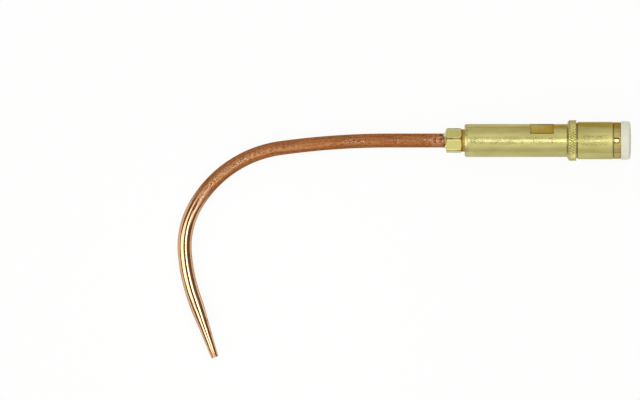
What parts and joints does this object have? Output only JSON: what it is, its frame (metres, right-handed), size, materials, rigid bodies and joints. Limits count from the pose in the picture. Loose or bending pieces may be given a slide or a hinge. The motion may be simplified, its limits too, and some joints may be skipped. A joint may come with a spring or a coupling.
{
  "type": "gas welding tip",
  "caption": "Bent copper gas welding tip with a swaged flame end, brazed into a brass mixer barrel that carries a knurled coupling nut and a plastic cap.",
  "frame": {"origin": "centre of the coupling nut's rear face, on the barrel's axis, where the part meets the torch", "axes": "+X along the barrel's axis towards the torch, the bend of the tube in the XY plane with the flame end towards -Y, +Z square to the bend and up when the part lies on a table"},
  "size_m": [0.2057, 0.108, 0.0184],
  "materials": {
    "copper": "drawn copper, matt and brown along the straight, buffed bright from the bend to the tip",
    "silver_braze": "as flowed, dull silver",
    "tip_nut_brass": "satin, as machined",
    "barrel_brass": "satin turned",
    "coupling_nut_brass": "satin turned, knurled collar, bright end land",
    "inner_brass": "as machined",
    "black_rubber": "smooth moulded",
    "white_plastic": "soft moulded, slightly translucent white"
  },
  "bodies": {
    "tip_and_mixer": {"tip_tube": "copper", "braze_fillet": "silver_braze", "tip_nut": "tip_nut_brass", "mixer_barrel": "barrel_brass", "mixing_throat": "inner_brass", "gas_injector": "inner_brass", "inlet_tail": "inner_brass", "front_sealing_ring": "black_rubber", "rear_sealing_ring": "black_rubber"},
    "nut": {"coupling_nut": "coupling_nut_brass"},
    "cap": {"protective_cap": "white_plastic"}
  },
  "joints": [
    {"name": "nut_spin", "type": "hinge", "parent": "tip_and_mixer", "child": "nut", "pos_m": [-0.0122, 0, 0], "axis": [1, 0, 0], "continuous": true},
    {"name": "cap_pull", "type": "slide", "parent": "nut", "child": "cap", "axis": [1, 0, 0], "range_m": [0, 0.015]}
  ]
}
